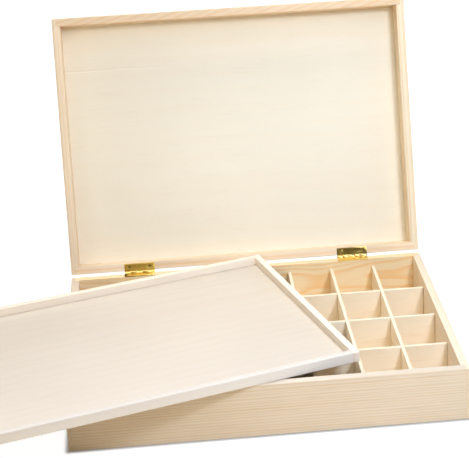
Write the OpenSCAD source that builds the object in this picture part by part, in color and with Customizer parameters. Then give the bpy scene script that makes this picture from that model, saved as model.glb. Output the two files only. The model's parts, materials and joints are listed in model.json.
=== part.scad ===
// Hinged pine display case for seashells: a base with a half-lapped grid of
// dividers, a shallow tray that drops in on top of them, and a framed lid on
// two brass stop hinges.
//
// X runs to the right, Y to the back, Z up. The origin is the middle of the
// underside of the base. The parts are drawn with the lid open on its stops
// and the tray lying askew across the left half of the rim.

/* [Case] */
// Outside width of the case, left to right
case_w = 350; // [300:1:380]
// Outside depth of the case, front to back
case_d = 254; // [230:1:280]
// Height of the base walls
base_h = 50; // [44:1:60]
// Height of the lid rails
lid_h = 30; // [24:1:40]
// Thickness of the wall boards and lid rails
wall_t = 7.5; // [7:0.1:9]
// Wood left outside every rebate, at the corners and round the panels
lip_t = 3.5; // [3:0.1:4.5]
// Thickness of the plywood panels in the base and the lid
panel_t = 3; // [2.5:0.1:4]
// Chamfer on the outside arrises of the case and the tray
ease = 0.5; // [0.3:0.1:0.8]

/* [Dividers] */
// Compartments from left to right
cells_x = 8; // [6:1:9]
// Compartments from front to back
cells_y = 4; // [3:1:5]
// Thickness of a divider
divider_t = 3; // [2.5:0.1:4]
// Height of the case rim above the divider tops
divider_drop = 8; // [6:0.5:10]
// Play between a divider's end and the wall
divider_play = 0.25; // [0.1:0.05:0.4]
// Play on each side of a divider in a half-lap slot
lap_play = 0.1; // [0.05:0.01:0.15]

/* [Tray] */
// Height of the tray rim
tray_h = 10; // [9:0.5:14]
// Width of the tray rim strips
strip_w = 6.5; // [6:0.1:9]
// Thickness of the tray floor
floor_t = 2.5; // [2.4:0.1:4]
// How far the tray floor is let into the strips
floor_let = 3; // [2:0.1:4]
// Play between the tray and each case wall
tray_play = 0.7; // [0.4:0.05:1]
// Angle that the tray lies askew
tray_turn = 17.1; // [10:0.1:20]
// Back right corner of the resting tray, to the right of the case middle
corner_x = 13; // [-10:0.5:30]
// Gap between that corner and the rim of the open lid
corner_gap = 1.5; // [0.8:0.1:5]
// Gap under the resting tray
rest_gap = 0.2; // [0.1:0.05:0.3]

/* [Hinges] */
// Length of a hinge
hinge_len = 30; // [26:1:38]
// Distance of each hinge middle from the side of the case
hinge_inset = 68; // [55:1:90]
// Angle between the closed and the open lid
lid_open = 108.5; // [100:0.5:115]
// Gap between the two rims when the lid is closed
rim_gap = 0.4; // [0.3:0.05:0.6]
// Thickness of a hinge leaf
leaf_t = 0.8; // [0.6:0.05:1]
// Distance from a leaf's free edge to the inside face of the wall
leaf_inset = 0.4; // [0.2:0.1:1]
// Play between a leaf's end and its recess
leaf_play = 0.15; // [0.1:0.05:0.3]
// Outside radius of the knuckles
knuckle_r = 1.6; // [1.5:0.05:1.8]
// Number of knuckles in a hinge
knuckles = 5; // [3:2:7]
// Gap between neighbouring knuckles, and from the knuckles to the case
knuckle_gap = 0.2; // [0.15:0.01:0.3]
// Radius of the hinge pin
pin_r = 0.8; // [0.7:0.01:0.9]
// Play round the hinge pin
pin_play = 0.05; // [0.03:0.01:0.08]
// How far the stop flanges stand out from the hinge axis
stop_reach = 4.2; // [3.5:0.1:5]
// Gap between the two stop flanges when the lid is open
stop_gap = 0.06; // [0.04:0.01:0.1]

/* [Screws] */
// Distance between the two screws of a leaf
screw_pitch = 20; // [16:1:22]
// Length of a screw
screw_len = 9; // [7:0.5:12]
// Radius of a screw shank
shank_r = 0.9; // [0.7:0.05:1]
// Radius of a screw head
head_r = 1.55; // [1.4:0.05:1.6]
// Play round a screw in its pilot hole and countersink
screw_play = 0.04; // [0.02:0.01:0.08]
// Width of the cross slot in a screw head
slot_w = 0.35; // [0.3:0.05:0.45]
// Depth of the cross slot in a screw head
slot_deep = 0.45; // [0.3:0.05:0.6]

/* [Hidden] */
$fn = 48;

// Case: the corner and panel rebates are cut at one setting
rebate_w = wall_t - lip_t;
inside_w = case_w - 2 * wall_t;
inside_d = case_d - 2 * wall_t;
panel_w = inside_w + 2 * rebate_w;
panel_d = inside_d + 2 * rebate_w;

// Dividers
divider_h = base_h - divider_drop - panel_t;
pitch_x = (inside_w + divider_t) / cells_x;
pitch_y = (inside_d + divider_t) / cells_y;
lap_w = divider_t + 2 * lap_play;
lap_h = divider_h / 2;

// Tray
tray_w = inside_w - 2 * tray_play;
tray_d = inside_d - 2 * tray_play;
floor_w = tray_w - 2 * (strip_w - floor_let);
floor_d = tray_d - 2 * (strip_w - floor_let);

// Hinge axis, and where the leaves and their screws lie from it. The plates
// start at root_r, inside the walls of the knuckles.
hinge_x = case_w / 2 - hinge_inset;
axis_y = case_d / 2 + knuckle_r + knuckle_gap;
axis_z = base_h + rim_gap / 2;
bore_r = pin_r + pin_play;
root_r = (bore_r + bore_r + knuckle_r) / 3;
leaf_near = knuckle_r + knuckle_gap;
leaf_far = leaf_near + wall_t - leaf_inset;
leaf_top = -rim_gap / 2;
screw_y = leaf_near + wall_t / 2;
knuckle_len = (hinge_len - (knuckles - 1) * knuckle_gap) / knuckles;
base_knuckles = [0 : 2 : knuckles - 1];
lid_knuckles = [1 : 2 : knuckles - 2];

// Back right corner of the tray, just in front of the open lid's rim
corner_y = axis_y - leaf_near * cos(lid_open) + rim_gap / 2 * sin(lid_open) - corner_gap;

// How far a cutter passes the face it cuts
bite = 1;

// Boards

// Bar eased round its outside face and its ends. The outside face is at x = 0,
// the ends are at half of the length to the front and to the back.
module eased_bar(w, length, h) {
    end = length / 2;
    intersection() {
        rotate([90, 0, 0]) translate([0, 0, -end]) linear_extrude(length) eased_section(w, h);
        linear_extrude(h) polygon([
            [ease, -end], [w, -end], [w, end], [ease, end], [0, end - ease], [0, ease - end]
        ]);
        rotate([90, 0, 90]) linear_extrude(w) polygon([
            [ease - end, 0], [end - ease, 0], [end, ease], [end, h - ease],
            [end - ease, h], [ease - end, h], [-end, h - ease], [-end, ease]
        ]);
    }
}

// Section of a bar, with its outside face at x = 0
module eased_section(w, h) {
    polygon([[ease, 0], [w, 0], [w, h], [ease, h], [0, h - ease], [0, ease]]);
}

// Side board of the base or the lid, rebated for the panel and, at both ends,
// for the long boards. Its panel side is at z = 0.
module side_board(h) {
    difference() {
        eased_bar(wall_t, case_d, h);
        translate([lip_t, -panel_d / 2, -bite])
            cube([rebate_w + bite, panel_d, panel_t + bite]);
        for (end = [0, 1]) mirror([0, end, 0]) translate([lip_t, inside_d / 2, -bite])
            cube([rebate_w + bite, wall_t + bite, h + 2 * bite]);
    }
}

// Front or back board, which fills the end rebates of the side boards and has
// the panel's rebate. Its outside face is at y = 0 and its panel side at z = 0.
module long_board(h) {
    difference() {
        rotate([90, 0, 90]) translate([0, 0, -panel_w / 2])
            linear_extrude(panel_w) eased_section(wall_t, h);
        translate([-panel_w / 2 - bite, lip_t, -bite])
            cube([panel_w + 2 * bite, rebate_w + bite, panel_t + bite]);
    }
}

// Plywood panel that fills the rebates flush with the boards
module panel() {
    translate([-panel_w / 2, -panel_d / 2, 0]) cube([panel_w, panel_d, panel_t]);
}

// Recesses across the rim for both hinges, with the holes for their screws,
// in the frame of a long board
module hinge_cuts(h) {
    for (side = [-1, 1]) translate([side * hinge_x, 0, h]) {
        translate([-hinge_len / 2 - leaf_play, -bite, -leaf_t])
            cube([hinge_len + 2 * leaf_play, wall_t + 2 * bite, leaf_t + bite]);
        for (s = [-1, 1]) translate([s * screw_pitch / 2, wall_t / 2, 0]) screw_hole();
    }
}

// Base

module front_wall() {
    color("#ecd3ab") translate([0, -case_d / 2, 0]) long_board(base_h);
}

module back_wall() {
    color("#f0cf9c") translate([0, case_d / 2, 0]) mirror([0, 1, 0]) difference() {
        long_board(base_h);
        hinge_cuts(base_h);
    }
}

module left_wall() {
    color("#eed6ae") translate([-case_w / 2, 0, 0]) side_board(base_h);
}

module right_wall() {
    color("#eed6ae") translate([case_w / 2, 0, 0]) mirror([1, 0, 0]) side_board(base_h);
}

module base_panel() {
    color("#ead2a8") panel();
}

// Dividers

function short_divider_x(i) = -inside_w / 2 + i * pitch_x - divider_t / 2;
function long_divider_y(j) = -inside_d / 2 + j * pitch_y - divider_t / 2;

// Divider that runs front to back, slotted from below over the long ones
module short_divider(i) {
    length = inside_d - 2 * divider_play;
    color("#f3dfba")
        translate([short_divider_x(i), 0, panel_t]) difference() {
            translate([-divider_t / 2, -length / 2, 0]) cube([divider_t, length, divider_h]);
            for (j = [1 : cells_y - 1])
                translate([-divider_t / 2 - bite, long_divider_y(j) - lap_w / 2, -bite])
                    cube([divider_t + 2 * bite, lap_w, lap_h + lap_play + bite]);
        }
}

// Divider that runs side to side, slotted from above for the short ones
module long_divider(j) {
    length = inside_w - 2 * divider_play;
    color("#f1dcb6")
        translate([0, long_divider_y(j), panel_t]) difference() {
            translate([-length / 2, -divider_t / 2, 0]) cube([length, divider_t, divider_h]);
            for (i = [1 : cells_x - 1])
                translate([short_divider_x(i) - lap_w / 2, -divider_t / 2 - bite, lap_h - lap_play])
                    cube([lap_w, divider_t + 2 * bite, divider_h - lap_h + lap_play + bite]);
        }
}

// Hinges

// Draws its children at the middle of one hinge's axis
module at_hinge(side) {
    translate([side * hinge_x, axis_y, axis_z]) children();
}

// Turns its children from the closed lid's place to the open lid's
module open_lid() {
    translate([0, axis_y, axis_z]) rotate([-lid_open, 0, 0])
        translate([0, -axis_y, -axis_z]) children();
}

function knuckle_x(k) = -hinge_len / 2 + k * (knuckle_len + knuckle_gap);

// Plate, knuckles and stop flange of a leaf, cut away round the other leaf's
// knuckles. The hinge axis is the X axis, the plate lies towards -Y, and the
// flange stands out behind the axis at half of the opening angle, where it
// meets the flange of the other leaf.
module leaf(other_knuckles) {
    color("#c9a24a") difference() {
        translate([-hinge_len / 2, 0, 0]) union() {
            translate([0, -leaf_far, leaf_top - leaf_t])
                cube([hinge_len, leaf_far - root_r, leaf_t]);
            rotate([-lid_open / 2, 0, 0]) translate([0, root_r, -leaf_t - stop_gap / 2])
                cube([hinge_len, stop_reach - root_r, leaf_t]);
            rotate([0, 90, 0]) cylinder(r = knuckle_r, h = hinge_len);
        }
        for (k = other_knuckles) translate([knuckle_x(k) - knuckle_gap, 0, 0])
            rotate([0, 90, 0]) cylinder(r = leaf_near, h = knuckle_len + 2 * knuckle_gap);
        translate([-hinge_len / 2 - bite, 0, 0])
            rotate([0, 90, 0]) cylinder(r = bore_r, h = hinge_len + 2 * bite);
        for (s = [-1, 1]) translate([s * screw_pitch / 2, -screw_y, leaf_top]) screw_hole();
    }
}

module base_leaf(side) {
    at_hinge(side) leaf(lid_knuckles);
}

module lid_leaf(side) {
    open_lid() at_hinge(side) mirror([0, 0, 1]) leaf(base_knuckles);
}

module hinge_pin(side) {
    color("#b08d3c") at_hinge(side)
        translate([-hinge_len / 2, 0, 0]) rotate([0, 90, 0]) cylinder(r = pin_r, h = hinge_len);
}

// Screws

// Countersunk head over a shank, with its top at z = 0. The grow value widens
// the same form for the hole that it sits in.
module screw_form(grow) {
    head_h = head_r - shank_r;
    rotate_extrude() polygon([
        [0, 0], [head_r + grow, 0], [shank_r + grow, -head_h],
        [shank_r + grow, -screw_len - grow], [0, -screw_len - grow]
    ]);
}

module screw_hole() {
    screw_form(screw_play);
}

module screw() {
    color("#d8b45c") difference() {
        screw_form(0);
        for (turn = [0, 90]) rotate([0, 0, turn])
            translate([-head_r, -slot_w / 2, -slot_deep]) cube([2 * head_r, slot_w, slot_deep + bite]);
    }
}

module base_leaf_screws() {
    for (side = [-1, 1]) at_hinge(side)
        for (s = [-1, 1]) translate([s * screw_pitch / 2, -screw_y, leaf_top]) screw();
}

module lid_leaf_screws() {
    open_lid() for (side = [-1, 1]) at_hinge(side) mirror([0, 0, 1])
        for (s = [-1, 1]) translate([s * screw_pitch / 2, -screw_y, leaf_top]) screw();
}

// Lid

// Draws its children, boards with the panel side down, as parts of the lid
module as_lid() {
    open_lid() translate([0, 0, base_h + rim_gap + lid_h]) mirror([0, 0, 1]) children();
}

module lid_front_rail() {
    color("#efd8b2") as_lid() translate([0, -case_d / 2, 0]) long_board(lid_h);
}

module lid_back_rail() {
    color("#efd8b2") as_lid() translate([0, case_d / 2, 0]) mirror([0, 1, 0]) difference() {
        long_board(lid_h);
        hinge_cuts(lid_h);
    }
}

module lid_left_rail() {
    color("#efd8b2") as_lid() translate([-case_w / 2, 0, 0]) side_board(lid_h);
}

module lid_right_rail() {
    color("#efd8b2") as_lid() translate([case_w / 2, 0, 0]) mirror([1, 0, 0]) side_board(lid_h);
}

module lid_panel() {
    color("#f3dcc0") as_lid() panel();
}

// Tray

// Places the tray, drawn about the middle of its underside, on the case rim
module on_rim() {
    translate([corner_x, corner_y, base_h + rest_gap]) rotate([0, 0, tray_turn])
        translate([-tray_w / 2, -tray_d / 2, 0]) children();
}

// Takes the seat of the floor out of a rim strip
module less_floor() {
    difference() {
        children();
        translate([-floor_w / 2, -floor_d / 2, -bite]) cube([floor_w, floor_d, floor_t + bite]);
    }
}

// Front or back strip, which lies between the side strips
module long_strip() {
    length = tray_w - 2 * strip_w;
    translate([0, -tray_d / 2, 0]) rotate([90, 0, 90]) translate([0, 0, -length / 2])
        linear_extrude(length) eased_section(strip_w, tray_h);
}

module side_strip() {
    translate([-tray_w / 2, 0, 0]) eased_bar(strip_w, tray_d, tray_h);
}

module tray_front_strip() {
    color("#f4e6cf") on_rim() less_floor() long_strip();
}

module tray_back_strip() {
    color("#f4e6cf") on_rim() less_floor() mirror([0, 1, 0]) long_strip();
}

module tray_left_strip() {
    color("#f4e6cf") on_rim() less_floor() side_strip();
}

module tray_right_strip() {
    color("#f4e6cf") on_rim() less_floor() mirror([1, 0, 0]) side_strip();
}

module tray_floor() {
    color("#f5e8d4") on_rim()
        translate([-floor_w / 2, -floor_d / 2, 0]) cube([floor_w, floor_d, floor_t]);
}

front_wall();
back_wall();
left_wall();
right_wall();
base_panel();
for (i = [1 : cells_x - 1])
    short_divider(i);
for (i = [1 : cells_y - 1])
    long_divider(i);
base_leaf(-1);  // left_hinge_base_leaf
lid_leaf(-1);  // left_hinge_lid_leaf
hinge_pin(-1);  // left_hinge_pin
base_leaf(1);  // right_hinge_base_leaf
lid_leaf(1);  // right_hinge_lid_leaf
hinge_pin(1);  // right_hinge_pin
base_leaf_screws();
lid_leaf_screws();
lid_front_rail();
lid_back_rail();
lid_left_rail();
lid_right_rail();
lid_panel();
tray_front_strip();
tray_back_strip();
tray_left_strip();
tray_right_strip();
tray_floor();
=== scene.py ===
import json
import math

import bmesh
import bpy
import numpy as np
from mathutils import Euler, Matrix, Vector


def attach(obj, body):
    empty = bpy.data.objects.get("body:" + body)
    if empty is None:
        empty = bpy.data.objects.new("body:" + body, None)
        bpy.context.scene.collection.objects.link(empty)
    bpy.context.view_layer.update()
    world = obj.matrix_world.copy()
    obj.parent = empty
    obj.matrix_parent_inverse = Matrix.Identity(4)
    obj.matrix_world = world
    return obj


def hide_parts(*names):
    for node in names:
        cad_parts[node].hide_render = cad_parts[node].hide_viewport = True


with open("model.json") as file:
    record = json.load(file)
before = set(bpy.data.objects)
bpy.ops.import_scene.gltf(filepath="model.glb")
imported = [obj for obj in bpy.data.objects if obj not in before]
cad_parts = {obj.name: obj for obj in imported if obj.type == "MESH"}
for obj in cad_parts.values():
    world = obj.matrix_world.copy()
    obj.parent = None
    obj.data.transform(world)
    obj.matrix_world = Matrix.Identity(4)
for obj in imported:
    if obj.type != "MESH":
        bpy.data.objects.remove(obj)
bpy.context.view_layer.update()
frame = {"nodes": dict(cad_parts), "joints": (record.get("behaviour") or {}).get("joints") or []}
scene = bpy.context.scene
mm = 0.001

joints = {joint["name"]: joint for joint in frame["joints"]}
slideAxis = joints["tray_slide"]["axis"]
lidTurn = math.radians(joints["lid_hinge"]["range_deg"][1])    # from the open lid to the closed one
trayTurn = math.atan2(-slideAxis[1], -slideAxis[0])            # how far the tray lies askew
quarterTurn = math.pi / 2

# Camera, solved from the straight edges of the photograph
view = {
    "imageWidth": 469,            # pixels
    "focal": 1572,                # pixels
    "place": (-0.0772, -1.3135, 0.6919),
    "yaw": 4.12,                  # degrees to the right
    "pitch": 23.24,               # degrees down
    "roll": 2.61,                 # degrees
    "shift": (-0.08, 0.03),
    "sensor": 36.0,               # millimetres
    "clip": (0.05, 50),
}


def makeCamera(s):
    yaw, pitch, roll = (math.radians(s[key]) for key in ("yaw", "pitch", "roll"))
    ahead = Vector((math.sin(yaw) * math.cos(pitch), math.cos(yaw) * math.cos(pitch),
                    -math.sin(pitch)))
    right = Vector((math.cos(yaw), -math.sin(yaw), 0))
    down = ahead.cross(right)
    side = right * math.cos(roll) + down * math.sin(roll)
    low = down * math.cos(roll) - right * math.sin(roll)
    turn = Matrix((side, -low, -ahead)).transposed().to_4x4()
    data = bpy.data.cameras.new("viewCamera")
    data.sensor_width = s["sensor"]
    data.lens = s["sensor"] * s["focal"] / s["imageWidth"]
    data.shift_x, data.shift_y = s["shift"]
    data.clip_start, data.clip_end = s["clip"]
    camera = bpy.data.objects.new("viewCamera", data)
    scene.collection.objects.link(camera)
    camera.matrix_world = Matrix.Translation(s["place"]) @ turn
    scene.camera = camera


makeCamera(view)
print("camera placed")


# Helpers for node trees. An input is a number, a colour or another node's output.
def addNode(tree, kind, inputs=None, **settings):
    node = tree.nodes.new("ShaderNode" + kind)
    for key, value in settings.items():
        setattr(node, key, value)
    for key, value in (inputs or {}).items():
        if isinstance(value, bpy.types.NodeSocket):
            tree.links.new(value, node.inputs[key])
        else:
            node.inputs[key].default_value = value
    return node


def maths(tree, operation, a, b=0.0, c=0.0, clamp=False):
    inputs = {0: a, 1: b, 2: c}
    return addNode(tree, "Math", inputs, operation=operation, use_clamp=clamp).outputs[0]


def vectorMaths(tree, operation, a, b=(0, 0, 0), out="Vector"):
    return addNode(tree, "VectorMath", {0: a, 1: b}, operation=operation).outputs[out]


def dot(tree, a, b):
    return vectorMaths(tree, "DOT_PRODUCT", a, b, out="Value")


def length(tree, a):
    return vectorMaths(tree, "LENGTH", a, out="Value")


def stretch(tree, where, along, across):
    return vectorMaths(tree, "MULTIPLY", where, (along, across, across))


def noise(tree, where, scale, detail=2.0, rough=0.5, out="Fac"):
    inputs = {"Vector": where, "Scale": scale, "Detail": detail, "Roughness": rough}
    return addNode(tree, "TexNoise", inputs).outputs[out]


# Value between two limits, spread over another range and held at its ends
def spread(tree, value, limits, span, smooth=False):
    inputs = {"Value": value, "From Min": limits[0], "From Max": limits[1],
              "To Min": span[0], "To Max": span[1]}
    kind = "SMOOTHSTEP" if smooth else "LINEAR"
    return addNode(tree, "MapRange", inputs, interpolation_type=kind).outputs[0]


# start + depth * (2 * pattern - 1), for a pattern of 0 to 1
def vary(tree, start, pattern, depth):
    return maths(tree, "MULTIPLY_ADD", maths(tree, "SUBTRACT", pattern, 0.5), 2 * depth, start)


def blendColour(tree, share, a, b):
    return addNode(tree, "Mix", {0: share, 6: a, 7: b}, data_type="RGBA").outputs[2]


def toned(tree, colour, tone):
    return addNode(tree, "VectorMath", {0: colour, "Scale": tone}, operation="SCALE").outputs[0]


def newMaterial(name):
    material = bpy.data.materials.new(name)
    material.use_nodes = True
    material.node_tree.nodes.clear()
    return material, material.node_tree


def finishMaterial(tree, inputs):
    shader = addNode(tree, "BsdfPrincipled", inputs)
    out = addNode(tree, "OutputMaterial")
    tree.links.new(shader.outputs["BSDF"], out.inputs["Surface"])


# Wood is a solid pattern: rings round a pith line that runs along the board, so faces, edges and
# ends all show the same tree.
pine = {
    "early": (0.761, 0.664, 0.543),    # the pale part of a ring
    "late": (0.721, 0.51, 0.305),      # the dark part of a ring
    "ringGap": 2.6 * mm,
    "pith": (0.006, -0.16),            # the pith's place across the board, from its middle
    "runout": (0.0, 0.0),              # the pith's slope along the board
    "sway": 0.0,                       # how far the rings stray slowly along the board
    "wander": 1.2 * mm,                # how far they stray quickly
    "contrast": 0.60,                  # depth of the dark rings
    "fibre": 0.03,
    "blotch": 0.06,
    "fleck": 0.05,                     # depth of the short dark dashes
    "endShade": 0.92,                  # tone of the end grain
    "rough": 0.62,
    "relief": 0.15,
    "seed": 0.0,
}
lidPine = {**pine, "early": (0.921, 0.76, 0.561), "late": (0.87, 0.581, 0.318)}
basswood = {
    **pine,
    "early": (0.93, 0.825, 0.69),
    "late": (0.92, 0.72, 0.51),
    "ringGap": 12 * mm,
    "pith": (0.05, 0.012),
    "sway": 8 * mm,
    "wander": 4 * mm,
    "contrast": 0.16,
    "fibre": 0.015,
    "blotch": 0.05,
    "endShade": 0.95,
    "relief": 0.08,
}
plywood = {
    **basswood,
    "early": (0.937, 0.874, 0.717),
    "late": (0.915, 0.777, 0.565),
    "ringGap": 16 * mm,
    "sway": 14 * mm,
    "contrast": 0.09,
    "fibre": 0.01,
    "fleck": 0.03,
}
cellWood = {
    **basswood,
    "early": (0.95, 0.835, 0.65),
    "late": (0.925, 0.685, 0.43),
    "ringGap": 8 * mm,
    "contrast": 0.12,
}

# What every wood shares. A pair is the scale of a noise along the grain and across it.
figure = {
    "wander": (5, 18),
    "sway": (7, 7),
    "fibre": (25, 620),
    "streak": (5, 95),
    "fleck": (32, 520),
    "seam": (22, 0),
    "blotch": 9,
    "years": 0.35,                       # noise that makes some years wider, for each ring
    "yearSpread": 1.2,                   # by how many rings
    "ringCourse": (0.35, 0.84, 0.98),    # where in a ring it is pale, darkest and pale again
    "streakSpan": (0.4, 1.2),            # least share of the dark rings, and what a streak adds
    "fleckFrom": 0.60,                   # the noise shows as dashes over this
    "fleckEdge": 6.0,
    "endFacing": (0.55, 0.9),            # end grain begins and is full, as cosines to the grain
    "ringRelief": 0.35,
    "reliefDepth": 0.12 * mm,
    "roughSpread": 0.16,
    "shine": 0.35,
}


# Vector from the pith line to each point, square to the grain. It strays by two noises, and the
# line slopes by runout.
def fromPithLine(tree, place, seeded, s):
    away = vectorMaths(tree, "SUBTRACT", place, (0, *s["pith"]))
    for key in ("wander", "sway"):
        stray = noise(tree, stretch(tree, seeded, *figure[key]), 1.0, 2, 0.45, "Color")
        stray = vectorMaths(tree, "SUBTRACT", stray, (0.5, 0.5, 0.5))
        stray = vectorMaths(tree, "MULTIPLY", stray, (0, 2 * s[key], 2 * s[key]))
        away = vectorMaths(tree, "ADD", away, stray)
    along = dot(tree, place, (1, 0, 0))
    lean = addNode(tree, "CombineXYZ", {"Y": maths(tree, "MULTIPLY", along, s["runout"][0]),
                                        "Z": maths(tree, "MULTIPLY", along, s["runout"][1])})
    away = vectorMaths(tree, "ADD", away, lean.outputs[0])
    return vectorMaths(tree, "MULTIPLY", away, (0, 1, 1))


# Ring number = distance from the pith line / gap + the years' noise. Its fraction gives the late
# wood, 0 to 1, which deepens through each ring and breaks off at its end.
def lateWood(tree, fromPith, gap):
    radius = length(tree, fromPith)
    years = addNode(tree, "TexNoise", {"W": radius, "Scale": figure["years"] / gap, "Detail": 1.0},
                    noise_dimensions="1D").outputs["Fac"]
    ring = maths(tree, "MULTIPLY_ADD", radius, 1 / gap,
                 maths(tree, "MULTIPLY", years, figure["yearSpread"]))
    band = addNode(tree, "ValToRGB", {"Fac": maths(tree, "FRACT", ring)})
    pale, darkest, paleAgain = figure["ringCourse"]
    ramp = band.color_ramp
    ramp.interpolation = "EASE"
    ramp.elements[0].position = pale
    ramp.elements[0].color = (0, 0, 0, 1)
    ramp.elements[1].position = darkest
    ramp.elements[1].color = (1, 1, 1, 1)
    ramp.elements.new(paleAgain).color = (0, 0, 0, 1)
    return band.outputs["Color"]


# Tone of a fine seam along the board: a pale line with a darker one beside it, at across with a
# slow stray, both fading out from one end to the other.
def seamTone(tree, place, s):
    along = dot(tree, place, (1, 0, 0))
    across = dot(tree, place, (0, 1, 0))
    offset = vary(tree, maths(tree, "SUBTRACT", across, s["across"]),
                  noise(tree, stretch(tree, place, *figure["seam"]), 1.0), s["stray"])
    lines = []
    for shift, depth in ((0.0, s["pale"]), (s["width"], s["dark"])):
        away = maths(tree, "ABSOLUTE", maths(tree, "ADD", offset, shift))
        line = spread(tree, away, (0.0, s["width"]), (1.0, 0.0))
        lines.append(maths(tree, "MULTIPLY", line, depth))
    fading = spread(tree, along, (s["from"], s["to"]), (1.0, 0.0))
    return maths(tree, "MULTIPLY_ADD", maths(tree, "SUBTRACT", *lines), fading, 1.0)


# Colour = early blended to late by the rings, times the tones of fibre, blotches, dashes, seam
# and end grain. The grain runs along X after the turn.
def solidWood(name, s, turn, grain, centre):
    material, tree = newMaterial(name)
    coords = addNode(tree, "TexCoord").outputs
    place = addNode(tree, "Mapping", {"Vector": coords["Object"], "Location": tuple(-centre),
                                      "Rotation": turn}).outputs["Vector"]
    seeded = vectorMaths(tree, "ADD", place, (s["seed"], 0, 0))
    fromPith = fromPithLine(tree, place, seeded, s)
    late = lateWood(tree, fromPith, s["ringGap"])
    drifted = vectorMaths(tree, "ADD", vectorMaths(tree, "MULTIPLY", seeded, (1, 0, 0)), fromPith)
    fibre = noise(tree, stretch(tree, drifted, *figure["fibre"]), 1.0, 3, 0.6)
    streak = noise(tree, stretch(tree, seeded, *figure["streak"]), 1.0, 2, 0.5)
    blotch = noise(tree, seeded, figure["blotch"], 2, 0.5)
    fleck = noise(tree, stretch(tree, drifted, *figure["fleck"]), 1.0, 1, 0.5)
    dashes = maths(tree, "SUBTRACT", fleck, figure["fleckFrom"], clamp=True)
    dashes = maths(tree, "MULTIPLY", dashes, figure["fleckEdge"], clamp=True)

    leastShare, streakShare = figure["streakSpan"]
    share = maths(tree, "MULTIPLY", late, maths(tree, "MULTIPLY_ADD", streak, streakShare, leastShare))
    share = maths(tree, "MULTIPLY", share, s["contrast"])
    colour = blendColour(tree, share, (*s["early"], 1), (*s["late"], 1))
    tone = vary(tree, 1.0, fibre, s["fibre"])
    tone = vary(tree, tone, blotch, s["blotch"])
    tone = maths(tree, "SUBTRACT", tone, maths(tree, "MULTIPLY", dashes, s["fleck"]))
    if "seam" in s:
        tone = maths(tree, "MULTIPLY", tone, seamTone(tree, place, s["seam"]))
    facing = maths(tree, "ABSOLUTE", dot(tree, coords["Normal"], tuple(grain)))
    endGrain = spread(tree, facing, figure["endFacing"], (1.0, s["endShade"]), smooth=True)
    colour = toned(tree, colour, maths(tree, "MULTIPLY", tone, endGrain))

    height = maths(tree, "MULTIPLY_ADD", late, figure["ringRelief"], fibre)
    bump = addNode(tree, "Bump", {"Height": height, "Strength": s["relief"],
                                  "Distance": figure["reliefDepth"]})
    rough = vary(tree, s["rough"], streak, figure["roughSpread"] / 2)
    finishMaterial(tree, {"Base Color": colour, "Roughness": rough,
                          "Normal": bump.outputs["Normal"], "Specular IOR Level": figure["shine"]})
    return material


def meshCentre(mesh):
    places = np.empty(len(mesh.vertices) * 3, np.float32)
    mesh.vertices.foreach_get("co", places)
    places = places.reshape(-1, 3)
    return Vector((places.min(0) + places.max(0)) / 2)


# How a copy of a CAD node's mesh is cleaned, and where its arrises are rounded
cleaning = {
    "mergeWithin": 0.001 * mm,
    "flatWithin": 0.002,          # radians
    "arrisOver": 35,              # degrees
    "segments": 2,
}


# A copy of a node's mesh with its doubles merged and its arrises rounded by width
def finishedCopy(node, width, s=cleaning):
    mesh = frame["nodes"][node].data.copy()
    mesh.materials.clear()
    shape = bmesh.new()
    shape.from_mesh(mesh)
    bmesh.ops.remove_doubles(shape, verts=shape.verts, dist=s["mergeWithin"])
    bmesh.ops.dissolve_limit(shape, angle_limit=s["flatWithin"], verts=shape.verts,
                             edges=shape.edges)
    shape.to_mesh(mesh)
    shape.free()
    mesh.polygons.foreach_set("use_smooth", np.ones(len(mesh.polygons), bool))
    piece = bpy.data.objects.new("fine_" + node, mesh)
    scene.collection.objects.link(piece)
    arris = piece.modifiers.new("arris", "BEVEL")
    arris.width = width
    arris.segments = s["segments"]
    arris.limit_method = "ANGLE"
    arris.angle_limit = math.radians(s["arrisOver"])
    arris.use_clamp_overlap = True
    arris.harden_normals = True
    return piece


def fitPiece(piece, node, body, material):
    piece.data.materials.append(material)
    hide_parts(node)
    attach(piece, body)


# Where each family of boards lies: the turn that brings it square, with its grain along X
square = (0, 0, 0)
sideways = (0, 0, -quarterTurn)
lidSquare = (lidTurn, 0, 0)
lidSideways = (lidTurn, 0, -quarterTurn)
traySquare = (0, 0, -trayTurn)
traySideways = (0, 0, -trayTurn - quarterTurn)

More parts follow.
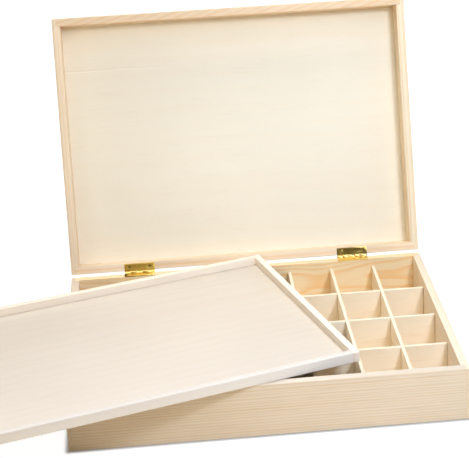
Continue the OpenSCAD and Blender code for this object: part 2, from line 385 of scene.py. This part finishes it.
boardArris = 0.25 * mm
boards = {
    "front_wall": (square, "base", {
        **pine, "seed": 0.3, "pith": (0.02, -0.1714), "late": (0.69, 0.49, 0.24)}),
    "back_wall": (square, "base", {
        **pine, "seed": 1.7, "pith": (0.040, 0.006), "ringGap": 2.2 * mm, "sway": 7 * mm,
        "wander": 2 * mm, "early": (0.965, 0.785, 0.51), "late": (0.95, 0.56, 0.18)}),
    "left_wall": (sideways, "base", {**pine, "seed": 2.9, "pith": (0.15, 0.05)}),
    "right_wall": (sideways, "base", {
        **pine, "seed": 4.1, "pith": (0.15, 0.05), "contrast": 0.25,
        "early": (0.88, 0.755, 0.585), "late": (0.82, 0.57, 0.35)}),
    "base_panel": (square, "base", {
        **plywood, "seed": 5.3, "early": (0.93, 0.75, 0.51), "late": (0.90, 0.68, 0.42)}),
    "lid_front_rail": (lidSquare, "lid", {
        **lidPine, "seed": 6.1, "pith": (0.11, 0.01), "runout": (0.30, 0.0), "ringGap": 5 * mm,
        "contrast": 0.5, "early": (0.86, 0.67, 0.46), "late": (0.80, 0.50, 0.24)}),
    "lid_back_rail": (lidSquare, "lid", {
        **lidPine, "seed": 7.7, "pith": (0.12, 0.06), "ringGap": 4 * mm}),
    "lid_left_rail": (lidSideways, "lid", {
        **lidPine, "seed": 8.3, "pith": (0.12, 0.01), "early": (0.86, 0.71, 0.525)}),
    "lid_right_rail": (lidSideways, "lid", {
        **lidPine, "seed": 9.1, "pith": (-0.12, 0.01), "ringGap": 4.6 * mm, "contrast": 0.5,
        "early": (0.95, 0.832, 0.62)}),
    "lid_panel": (lidSquare, "lid", {
        **plywood, "seed": 10.3, "seam": {
            "across": -74.2 * mm, "from": -130 * mm, "to": -38 * mm, "width": 1.0 * mm,
            "stray": 1.2 * mm, "pale": 0.10, "dark": 0.09}}),
    "tray_front_strip": (traySquare, "tray", {
        **basswood, "seed": 11.3, "early": (0.775, 0.73, 0.675)}),
    "tray_back_strip": (traySquare, "tray", {**basswood, "seed": 12.3}),
    "tray_left_strip": (traySideways, "tray", {**basswood, "seed": 13.3}),
    "tray_right_strip": (traySideways, "tray", {
        **basswood, "seed": 14.3, "early": (0.93, 0.85, 0.735)}),
    "tray_floor": (traySquare, "tray", {
        **basswood, "seed": 15.3, "fibre": 0.01, "fleck": 0.03, "relief": 0.03,
        "early": (0.728, 0.656, 0.563), "late": (0.69, 0.556, 0.415)}),
}
for i in range(1, 8):
    boards["short_divider_%d" % i] = (sideways, "base", {**cellWood, "seed": 16.0 + i})
for i in range(1, 4):
    boards["long_divider_%d" % i] = (square, "base", {**cellWood, "seed": 26.0 + i})


def dressBoard(node, turn, body, wood):
    piece = finishedCopy(node, boardArris)
    rotation = Euler(turn).to_matrix()
    centre = rotation @ meshCentre(piece.data)
    grain = rotation.inverted() @ Vector((1, 0, 0))
    fitPiece(piece, node, body, solidWood("wood_" + node, wood, turn, grain, centre))


for node, (turn, body, wood) in boards.items():
    dressBoard(node, turn, body, wood)
print("boards dressed")

# Brass plating, smooth, with faint brushing and a few duller patches. The plates of the lid's leaves
# have another tone than the knuckles and the leaves below: a painted reflection of their surroundings.
leafArris = 0.08 * mm
# The two hinges are one brass; their barrel and plate tones differ as painted reflection and painted
# shade, darker on the left hinge, standing in for how each part catches the light.
leftBrass = {
    "barrel": (0.62, 0.45, 0.14),
    "plate": (0.84, 0.58, 0.13),
    "pin": "left_hinge_pin",
    # where the plate's painted reflection tone begins and is full, from the hinge's axis
    "paintedReflectionFrom": (1.7 * mm, 2.3 * mm),    # from the hinge's axis: where it begins and is full
    "patchScale": 180,
    "patchEdge": 2.5,
    "patchTone": 0.84,
    "patchRough": 0.08,
    "brushScale": (160, 2600),
    "brush": 0.05,
    "rough": 0.32,
}
rightBrass = {
    **leftBrass,
    "barrel": (0.90, 0.69, 0.27),
    # the right lid plate's dark tone is a painted dark reflection
    "plate": (0.36, 0.255, 0.07),
    "pin": "right_hinge_pin",
}


# Colour = barrel, or where a reflection is painted, barrel blended to the plate's painted reflection
# tone by the distance from the axis
def brassMaterial(name, s, withPaintedReflection):
    material, tree = newMaterial(name)
    coords = addNode(tree, "TexCoord").outputs["Object"]
    brushing = noise(tree, stretch(tree, coords, *s["brushScale"]), 1.0, 2, 0.5)
    patches = noise(tree, coords, s["patchScale"], 2, 0.5)
    patches = maths(tree, "SUBTRACT", patches, 0.5, clamp=True)
    patches = maths(tree, "MULTIPLY", patches, s["patchEdge"], clamp=True)
    colour = s["barrel"]
    # painted reflection: away from the knuckle the colour turns to the plate's tone
    if withPaintedReflection:
        axis = tuple(meshCentre(frame["nodes"][s["pin"]].data))
        fromAxis = vectorMaths(tree, "SUBTRACT", coords, axis)
        away = length(tree, vectorMaths(tree, "MULTIPLY", fromAxis, (0, 1, 1)))
        share = spread(tree, away, s["paintedReflectionFrom"], (0.0, 1.0))
        colour = blendColour(tree, share, (*s["barrel"], 1), (*s["plate"], 1))
    colour = toned(tree, colour, maths(tree, "MULTIPLY_ADD", patches, s["patchTone"] - 1, 1.0))
    rough = vary(tree, s["rough"], brushing, s["brush"] / 2)
    rough = maths(tree, "MULTIPLY_ADD", patches, s["patchRough"], rough)
    finishMaterial(tree, {"Base Color": colour, "Metallic": 1.0, "Roughness": rough})
    return material


leftPlain = brassMaterial("left_brass", leftBrass, False)
rightPlain = brassMaterial("right_brass", rightBrass, False)
# copies with a painted reflection on the lid leaves' plates and their screws
leftPaintedReflection = brassMaterial("left_painted_reflection_brass", leftBrass, True)
rightPaintedReflection = brassMaterial("right_painted_reflection_brass", rightBrass, True)
metal = {
    "left_hinge_base_leaf": ("base", leftPlain),
    "right_hinge_base_leaf": ("base", rightPlain),
    "left_hinge_pin": ("base", leftPlain),
    "right_hinge_pin": ("base", rightPlain),
    "base_leaf_screws": ("base", rightPlain),
    "left_hinge_lid_leaf": ("lid", leftPaintedReflection),
    "right_hinge_lid_leaf": ("lid", rightPaintedReflection),
    "lid_leaf_screws": ("lid", rightPaintedReflection),
}
for node, (body, finish) in metal.items():
    fitPiece(finishedCopy(node, leafArris), node, body, finish)
print("hinges dressed")

# Studio. The floor that the camera sees glows a little, so it stays near white, and less at the
# foot of the case, a painted contact shadow. An unseen one just under it gives the plain bounce of
# pale card.
studio = {
    "shown": (0.30, 0.30, 0.30),
    "glow": 0.94,
    # painted contact shadow: the glow at the case's foot, and how far it reaches
    "paintedShadowGlow": 0.15,
    "paintedShadowReach": 6 * mm,
    "bounce": (0.93, 0.80, 0.60),
    "underBy": 0.5 * mm,
    "reach": 12.0,
    "cardRough": 0.9,
    "cardShine": 0.1,
    "surround": 0.0,
    "lamps": {
        "keyLight": {"place": (0.3, -0.5, 0.65), "aim": (0.02, 0.02, 0.08), "size": 0.15,
                     "power": 3.45, "hue": (0.70, 0.81, 1.0)},
        "slantLight": {"place": (0.2, -0.7, 1.4), "aim": (0, 0, 0.1), "size": 1.0,
                       "power": 5.94, "hue": (0.9, 0.92, 1.0)},
        "nearLight": {"place": (0.15, -0.9, 0.75), "aim": (0, 0.1, 0.12), "size": 0.5,
                      "power": 1.35, "hue": (0.94, 0.95, 0.88)},
        "rearLight": {"place": (-0.3, 0.5, 1.7), "aim": (0, 0, 0.05), "size": 1.2,
                      "power": 20.6, "hue": (1.0, 0.96, 0.89)},
        "rightLight": {"place": (1.5, -0.4, 0.8), "aim": (0, 0, 0.1), "size": 1.0,
                       "power": 4.52, "hue": (0.93, 0.94, 1.0)},
        "leftLight": {"place": (-0.9, -1.1, 0.9), "aim": (0, 0.05, 0.12), "size": 0.8,
                      "power": 3.7, "hue": (1.0, 0.83, 0.64)},
    },
}


def softLight(name, place, aim, size, power, hue):
    light = bpy.data.lights.new(name, "AREA")
    light.shape = "DISK"
    light.size = size
    light.energy = power
    light.color = hue
    lamp = bpy.data.objects.new(name, light)
    lamp.location = place
    lamp.rotation_euler = (Vector(aim) - Vector(place)).to_track_quat("-Z", "Y").to_euler()
    lamp.visible_camera = False
    scene.collection.objects.link(lamp)


# A square card that reaches as far on every side, level at height
def floorCard(name, height, reach):
    mesh = bpy.data.meshes.new(name)
    corners = [(x * reach, y * reach, height) for x, y in ((-1, -1), (1, -1), (1, 1), (-1, 1))]
    mesh.from_pydata(corners, [], [(0, 1, 2, 3)])
    card = bpy.data.objects.new(name, mesh)
    scene.collection.objects.link(card)
    material, tree = newMaterial(name)
    mesh.materials.append(material)
    return card, tree


# Glow = the foot glow at the case's foot, a painted contact shadow, rising to glow at the foot reach
# from it
def floorGlow(tree, s):
    foot = [frame["nodes"][node].data for node in ("left_wall", "right_wall")]
    half = [max(abs(v.co[axis]) for mesh in foot for v in mesh.vertices) for axis in (0, 1)]
    place = vectorMaths(tree, "ABSOLUTE", addNode(tree, "TexCoord").outputs["Object"])
    beyond = vectorMaths(tree, "SUBTRACT", place, (*half, 0))
    beyond = vectorMaths(tree, "MAXIMUM", beyond, (0, 0, 0))
    away = length(tree, vectorMaths(tree, "MULTIPLY", beyond, (1, 1, 0)))
    return spread(tree, away, (0.0, s["paintedShadowReach"]), (s["paintedShadowGlow"], s["glow"]), smooth=True)


def makeStudio(s):
    card = {"Roughness": s["cardRough"], "Specular IOR Level": s["cardShine"]}
    shown, tree = floorCard("shownFloor", 0.0, s["reach"])
    finishMaterial(tree, {**card, "Base Color": (*s["shown"], 1), "Emission Color": (1, 1, 1, 1),
                          "Emission Strength": floorGlow(tree, s)})
    for ray in ("diffuse", "glossy", "transmission", "shadow"):
        setattr(shown, "visible_" + ray, False)
    under, tree = floorCard("bounceFloor", -s["underBy"], s["reach"])
    finishMaterial(tree, {**card, "Base Color": (*s["bounce"], 1)})
    under.visible_camera = False
    for name, lamp in s["lamps"].items():
        softLight(name, **lamp)
    world = bpy.data.worlds.new("surround")
    world.use_nodes = True
    backdrop = world.node_tree.nodes["Background"]
    backdrop.inputs["Color"].default_value = (1, 1, 1, 1)
    backdrop.inputs["Strength"].default_value = s["surround"]
    scene.world = world
    scene.view_settings.view_transform = "Standard"
    scene.view_settings.look = "None"


makeStudio(studio)
print("studio lit")
